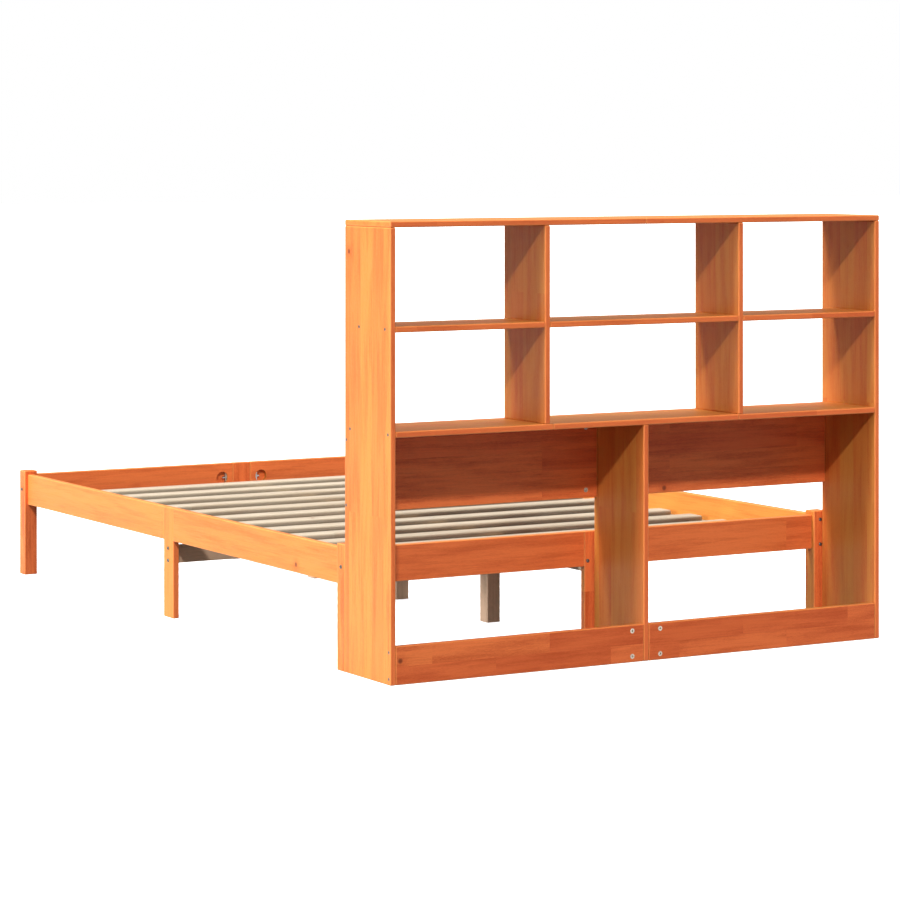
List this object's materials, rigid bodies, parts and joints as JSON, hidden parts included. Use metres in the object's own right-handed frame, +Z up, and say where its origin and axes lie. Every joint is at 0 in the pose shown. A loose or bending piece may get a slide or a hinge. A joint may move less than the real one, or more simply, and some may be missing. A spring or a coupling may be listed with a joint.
{
  "type": "bookcase headboard bed",
  "caption": "Low slatted pine bed frame with a tall open bookcase as its headboard, with shelf compartments above and open bays below; for a standard double mattress.",
  "frame": {"origin": "middle of the footprint's bounding box, on the floor", "axes": "+Y towards the bookcase at the head, +X to the right of someone who stands at the foot and looks at it, +Z up"},
  "size_m": [1.461, 2.286, 1.1],
  "materials": {
    "stained_pine": "wax-stained honey brown solid pine, satin",
    "bare_pine": "planed unfinished pine",
    "zinc_plated_steel": "zinc-plated steel",
    "zinc_alloy": "cast zinc alloy",
    "beech": "plain beech dowel"
  },
  "bodies": {
    "root": {"bottom_rail_left": "stained_pine", "bottom_rail_right": "stained_pine", "cam_fittings": "zinc_alloy", "centre_beam": "bare_pine", "centre_divider": "stained_pine", "cross_beam": "bare_pine", "dowels": "beech", "foot_centre_post": "stained_pine", "foot_leg": "bare_pine", "foot_post_left": "stained_pine", "foot_post_right": "stained_pine", "foot_rail_left": "stained_pine", "foot_rail_right": "stained_pine", "frame_screws": "zinc_plated_steel", "half_moon_nuts": "zinc_plated_steel", "head_centre_post": "stained_pine", "head_leg": "bare_pine", "head_post_left": "stained_pine", "head_post_right": "stained_pine", "head_rail_left": "stained_pine", "head_rail_right": "stained_pine", "headboard_panel_left": "stained_pine", "headboard_panel_right": "stained_pine", "joint_rods": "zinc_plated_steel", "middle_leg": "bare_pine", "middle_shelf_left": "stained_pine", "middle_shelf_middle": "stained_pine", "middle_shelf_right": "stained_pine", "panel_screws": "zinc_plated_steel", "side_centre_post_left": "stained_pine", "side_centre_post_right": "stained_pine", "side_panel_left": "stained_pine", "side_panel_right": "stained_pine", "side_rail_foot_left": "stained_pine", "side_rail_foot_right": "stained_pine", "side_rail_head_left": "stained_pine", "side_rail_head_right": "stained_pine", "slat_01": "bare_pine", "slat_02": "bare_pine", "slat_03": "bare_pine", "slat_04": "bare_pine", "slat_05": "bare_pine", "slat_06": "bare_pine", "slat_07": "bare_pine", "slat_08": "bare_pine", "slat_09": "bare_pine", "slat_10": "bare_pine", "slat_11": "bare_pine", "slat_12": "bare_pine", "slat_13": "bare_pine", "slat_batten_left": "bare_pine", "slat_batten_right": "bare_pine", "top_board_left": "stained_pine", "top_board_right": "stained_pine", "upper_divider_left": "stained_pine", "upper_divider_right": "stained_pine", "upper_shelf_left": "stained_pine", "upper_shelf_middle": "stained_pine", "upper_shelf_right": "stained_pine", "wood_screws": "zinc_plated_steel"}
  },
  "joints": []
}
